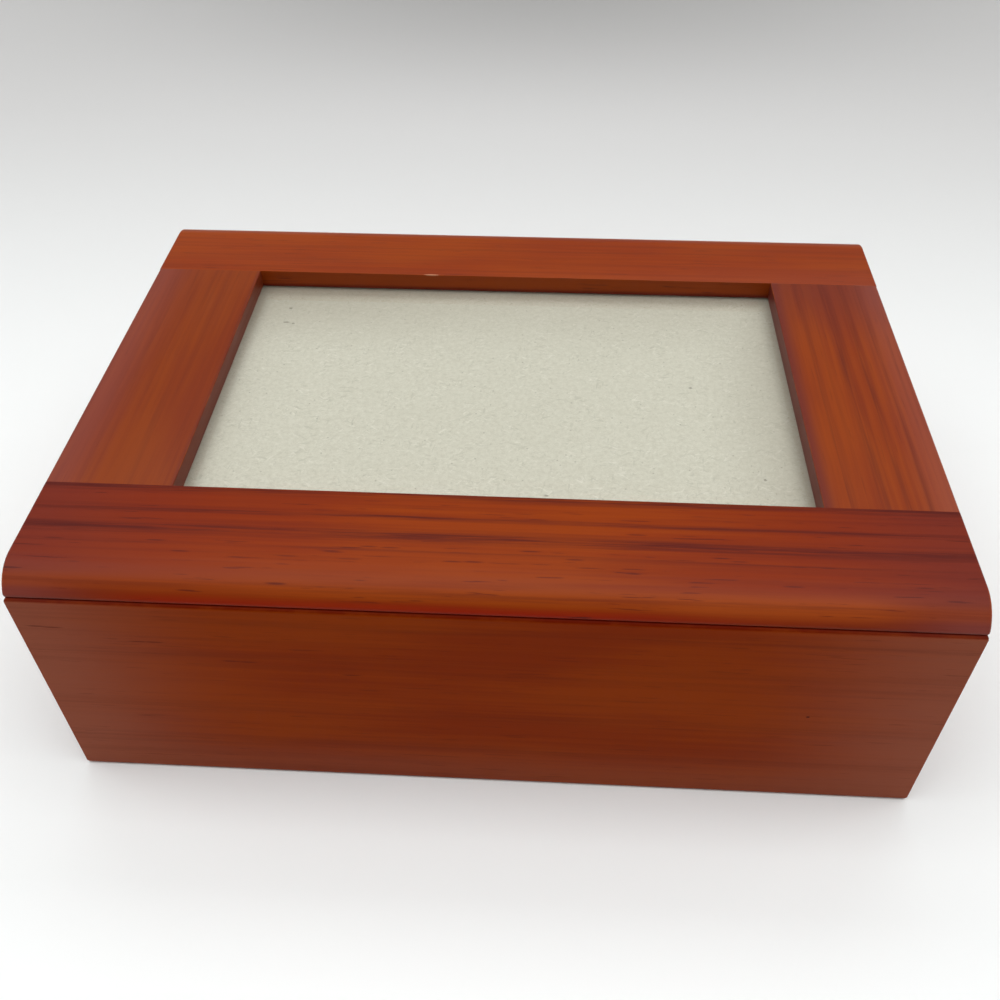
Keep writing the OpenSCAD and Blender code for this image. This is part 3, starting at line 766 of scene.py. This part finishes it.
def soften_all():
    """The joinery stays crisp, and the edges that hands and sandpaper reach are rounded."""
    lid_sides = [({"x": SIDE_X}, 0.65), ({"x": SIDE_X, "z": SEAM_Z}, 0.9)]
    for name, outer_y, joint_y in (("lid_front_rail", LID_LOW.y, FRONT_JOINT_Y),
                                   ("lid_rear_rail", LID_REAR_HIGH.y, REAR_JOINT_Y)):
        soften(name, LID_EDGE_MM, rules=lid_sides + [
            ({"y": outer_y, "z": SEAM_Z}, 0.9), ({"y": joint_y}, 0.0)])
    for name in ("lid_left_stile", "lid_right_stile"):
        soften(name, LID_EDGE_MM, rules=lid_sides + [
            ({"x": STILE_INNER_X, "z": LID_TOP}, 0.3),
            ({"y": FRONT_JOINT_Y}, 0.0), ({"y": REAR_JOINT_Y}, 0.0)])
    for name, outer_y, inner_y in (("front_panel", BOX_LOW.y, BOX_INNER_Y),
                                   ("rear_panel", BOX_REAR, BOX_REAR_INNER_Y)):
        soften(name, WALL_EDGE_MM, rules=[
            ({"x": SIDE_X, "y": outer_y}, 0.4), ({"x": SIDE_X, "z": SEAM_Z}, 0.75),
            ({"y": outer_y, "z": SEAM_Z}, 0.75), ({"y": inner_y, "z": SEAM_Z}, 0.3),
            ({"x": SIDE_X, "z": 0.0}, 1.0), ({"y": outer_y, "z": 0.0}, 1.0)])
    for name in ("left_panel", "right_panel"):
        soften(name, WALL_EDGE_MM, rules=[
            ({"x": SIDE_X, "z": SEAM_Z}, 0.75), ({"x": BOX_INNER_X, "z": SEAM_Z}, 0.3),
            ({"x": SIDE_X, "z": 0.0}, 1.0)])
    for name in nodes:
        if name.startswith("turn_button") and not name.endswith("screws"):
            soften(name, BUTTON_EDGE_MM, segments=3, plain_share=1.0)


# --- camera, light and floor ---

FOCAL_PX = 1033.55
IMAGE_PX = 1000.0
SENSOR_MM = 36.0
CAMERA_AT = Vector((11.602, -208.384, 228.542)) * MM
CAMERA_TILT, CAMERA_ROLL, CAMERA_PAN = (math.radians(a) for a in (45.6593, -0.5726, 3.5872))

# name: place, target, size and power
LIGHTS = {"top_light": ((0.0, -0.22, 1.1), (0.0, 0.0, 0.0), (1.7, 0.9), 11.1),
          "rear_light": ((0.0, 0.62, 0.95), (0.0, 0.0, 0.03), (1.3, 0.5), 5.3),
          "left_light": ((-1.0, 0.1, 0.7), (0.0, 0.0, 0.0), (0.8, 0.8), 2.4),
          "right_light": ((1.0, 0.1, 0.7), (0.0, 0.0, 0.0), (0.8, 0.8), 2.4)}

# The room's grey in front of, beside and behind the box
ROOM_TONES = [(0.0, 0.08), (0.5, 0.34), (1.0, 0.30)]

# The sweep: where its two curves start, their radius, and the height and half width of it all
SWEEP_FRONT, SWEEP_REAR, SWEEP_RADIUS, SWEEP_HEIGHT, SWEEP_SIDE = -1.5, 0.24, 0.40, 1.4, 9.0
SWEEP_STEPS = 24

# The sweep's tone, pale near the box and greyer over its rear part as a painted falloff of light,
# and the greyer tone of the painted shade in its far front and the painted shadow in its rear
# middle
SWEEP_PAINTED_FALLOFF = [(0.0, (0.865, 0.885, 0.88)), (0.31, (0.60, 0.60, 0.595)),
               (0.55, (0.44, 0.437, 0.432)), (1.0, (0.30, 0.296, 0.292))]
SWEEP_PAINTED_SHADE = (0.20, 0.195, 0.19)


def make_camera():
    camera = bpy.data.objects.new("camera", bpy.data.cameras.new("camera"))
    bpy.context.scene.collection.objects.link(camera)
    camera.data.sensor_width = SENSOR_MM
    camera.data.lens = FOCAL_PX / IMAGE_PX * SENSOR_MM
    camera.data.clip_start = 0.005
    camera.matrix_world = (Matrix.Translation(CAMERA_AT) @ Matrix.Rotation(CAMERA_PAN, 4, "Z")
                           @ Matrix.Rotation(CAMERA_TILT, 4, "X")
                           @ Matrix.Rotation(CAMERA_ROLL, 4, "Z"))
    bpy.context.scene.camera = camera


def soft_light(name, at, target, size, power):
    light = bpy.data.lights.new(name, "AREA")
    light.shape = "RECTANGLE"
    light.size, light.size_y = size
    light.energy = power
    lamp = bpy.data.objects.new(name, light)
    bpy.context.scene.collection.objects.link(lamp)
    lamp.location = at
    lamp.rotation_euler = (Vector(target) - Vector(at)).to_track_quat("-Z", "Y").to_euler()


def make_lights():
    for name, settings in LIGHTS.items():
        soft_light(name, *settings)
    world = bpy.data.worlds.new("studio")
    bpy.context.scene.world = world
    world.use_nodes = True
    t = Tree(world.node_tree)
    back = t.split(t.node("ShaderNodeTexCoord").outputs["Generated"])[1]
    tone = t.ramp(t.remap(back, -1.0, 1.0), ROOM_TONES)
    sky = t.node("ShaderNodeBackground", Color=tone, Strength=1.0)
    t.node("ShaderNodeOutputWorld", Surface=sky.outputs[0])


def sweep_mesh():
    """Flat floor, with a wide curve up into a wall behind and in front."""
    turns = [i / SWEEP_STEPS * math.pi / 2 for i in range(SWEEP_STEPS + 1)]
    curve = [(SWEEP_RADIUS * math.sin(a), SWEEP_RADIUS * (1 - math.cos(a))) for a in turns]
    profile = [(SWEEP_FRONT - SWEEP_RADIUS, SWEEP_HEIGHT)]
    profile += [(SWEEP_FRONT - away, up) for away, up in reversed(curve)]
    profile += [(SWEEP_REAR + away, up) for away, up in curve]
    profile.append((SWEEP_REAR + SWEEP_RADIUS, SWEEP_HEIGHT))
    points = [(x, y, z) for y, z in profile for x in (-SWEEP_SIDE, SWEEP_SIDE)]
    faces = [(2 * i, 2 * i + 1, 2 * i + 3, 2 * i + 2) for i in range(len(profile) - 1)]
    mesh = bpy.data.meshes.new("floor")
    mesh.from_pydata(points, [], faces)
    mesh.polygons.foreach_set("use_smooth", [True] * len(mesh.polygons))
    return mesh


def make_floor():
    """A pale sweep with painted shade: greyer to the rear and in the far front, with a painted
    shadow in its rear middle.
    """
    mesh = sweep_mesh()
    floor = bpy.data.objects.new("floor", mesh)
    bpy.context.scene.collection.objects.link(floor)
    m, t = material("floor")
    x, y, z = t.split(t.node("ShaderNodeTexCoord").outputs["Object"])
    back = t.add(y, t.mul(z, 0.5))
    tone = t.ramp(t.remap(back, 0.05, 0.85), SWEEP_PAINTED_FALLOFF)
    painted_front_shade = t.remap(y, -0.18, -0.60, 0.0, 0.5, smooth=True)
    painted_middle_shadow = t.mul(t.remap(t.math("ABSOLUTE", x), 0.36, 0.0, 0.0, 0.6, smooth=True),
                       t.remap(back, 0.28, 0.45, smooth=True))
    tone = t.mix(t.math("MAXIMUM", painted_front_shade, painted_middle_shadow), tone, SWEEP_PAINTED_SHADE)
    shader = t.node("ShaderNodeBsdfPrincipled", Base_Color=tone, Roughness=0.6,
                    Specular_IOR_Level=0.3)
    finish_material(t, shader.outputs[0])
    mesh.materials.append(m)


dress_all()
soften_all()
make_camera()
make_lights()
make_floor()
bpy.context.scene.view_settings.view_transform = "Standard"
